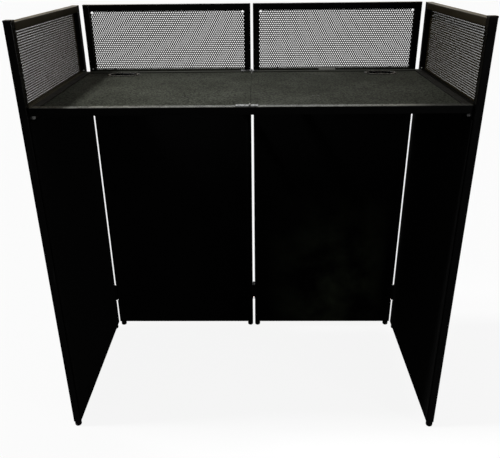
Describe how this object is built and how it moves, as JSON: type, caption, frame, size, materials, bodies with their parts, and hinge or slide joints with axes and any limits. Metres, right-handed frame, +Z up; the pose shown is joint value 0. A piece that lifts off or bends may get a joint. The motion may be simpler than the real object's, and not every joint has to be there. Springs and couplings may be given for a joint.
{
  "type": "dj booth",
  "caption": "Folding dj booth: hinged black steel frames with perforated upper grilles, stretched cloth scrims below, and a hinged lift-off tabletop with cable ports.",
  "frame": {"origin": "floor, in the middle of the booth's footprint", "axes": "+Z up, +Y away from the user towards the audience, +X to the user's right"},
  "size_m": [1.113, 0.58, 1.1985],
  "materials": {
    "frame_paint": "satin black powder coat",
    "grille_steel": "semi-matt black powder coat on perforated sheet",
    "scrim_cloth": "matt black stretched cloth",
    "foot_plastic": "moulded",
    "grommet_plastic": "fine moulded grain",
    "tabletop": "pebbled black laminate on board",
    "zinc_steel": "bright zinc plate"
  },
  "bodies": {
    "front_left": {"front_left_outer_stile": "frame_paint", "front_left_centre_stile": "frame_paint", "front_left_hinge_pins": "frame_paint", "front_left_top_rail": "frame_paint", "front_left_crossbar": "frame_paint", "front_left_bottom_rail": "frame_paint", "front_left_grille": "grille_steel", "front_left_scrim": "scrim_cloth", "front_left_feet": "foot_plastic", "front_left_brackets": "frame_paint", "front_left_hinge_leaves": "frame_paint"},
    "side_left": {"side_left_far_stile": "frame_paint", "side_left_near_stile": "frame_paint", "side_left_cap": "foot_plastic", "side_left_support_bolts": "zinc_steel", "side_left_top_rail": "frame_paint", "side_left_crossbar": "frame_paint", "side_left_bottom_rail": "frame_paint", "side_left_grille": "grille_steel", "side_left_scrim": "scrim_cloth", "side_left_feet": "foot_plastic", "side_left_brackets": "frame_paint", "side_left_hinge_leaves": "frame_paint"},
    "table_left": {"table_left_frame": "frame_paint", "table_left_panel": "tabletop", "table_left_grommet": "grommet_plastic", "table_left_hinge_leaves": "zinc_steel", "table_hinge_pins": "zinc_steel", "table_bolt_guides": "zinc_steel"},
    "front_right": {"front_right_outer_stile": "frame_paint", "front_right_centre_stile": "frame_paint", "front_right_hinge_pins": "frame_paint", "front_right_top_rail": "frame_paint", "front_right_crossbar": "frame_paint", "front_right_bottom_rail": "frame_paint", "front_right_grille": "grille_steel", "front_right_scrim": "scrim_cloth", "front_right_feet": "foot_plastic", "front_right_brackets": "frame_paint", "front_right_hinge_leaves": "frame_paint"},
    "side_right": {"side_right_far_stile": "frame_paint", "side_right_near_stile": "frame_paint", "side_right_cap": "foot_plastic", "side_right_support_bolts": "zinc_steel", "side_right_top_rail": "frame_paint", "side_right_crossbar": "frame_paint", "side_right_bottom_rail": "frame_paint", "side_right_grille": "grille_steel", "side_right_scrim": "scrim_cloth", "side_right_feet": "foot_plastic", "side_right_brackets": "frame_paint", "side_right_hinge_leaves": "frame_paint"},
    "table_right": {"table_right_frame": "frame_paint", "table_right_panel": "tabletop", "table_right_grommet": "grommet_plastic", "table_right_hinge_leaves": "zinc_steel", "table_bolt_keeper": "zinc_steel"},
    "lock_bolt": {"table_bolt": "zinc_steel"}
  },
  "joints": [
    {"name": "centre_fold", "type": "hinge", "parent": "front_left", "child": "front_right", "pos_m": [0, 0.286, 0.6], "axis": [0, 0, 1], "range_deg": [0, 180]},
    {"name": "left_fold", "type": "hinge", "parent": "front_left", "child": "side_left", "pos_m": [-0.533, 0.259, 0.6], "axis": [0, 0, 1], "range_deg": [-90, 0]},
    {"name": "right_fold", "type": "hinge", "parent": "front_right", "child": "side_right", "pos_m": [0.533, 0.259, 0.6], "axis": [0, 0, 1], "range_deg": [0, 90]},
    {"name": "table_lift", "type": "slide", "parent": "front_left", "child": "table_left", "axis": [0, 0, 1], "range_m": [0, 0.35]},
    {"name": "table_fold", "type": "hinge", "parent": "table_left", "child": "table_right", "pos_m": [0, 0, 1.0005], "axis": [0, -1, 0], "range_deg": [0, 180]},
    {"name": "bolt_slide", "type": "slide", "parent": "table_left", "child": "lock_bolt", "axis": [1, 0, 0], "range_m": [0, 0.024]}
  ]
}
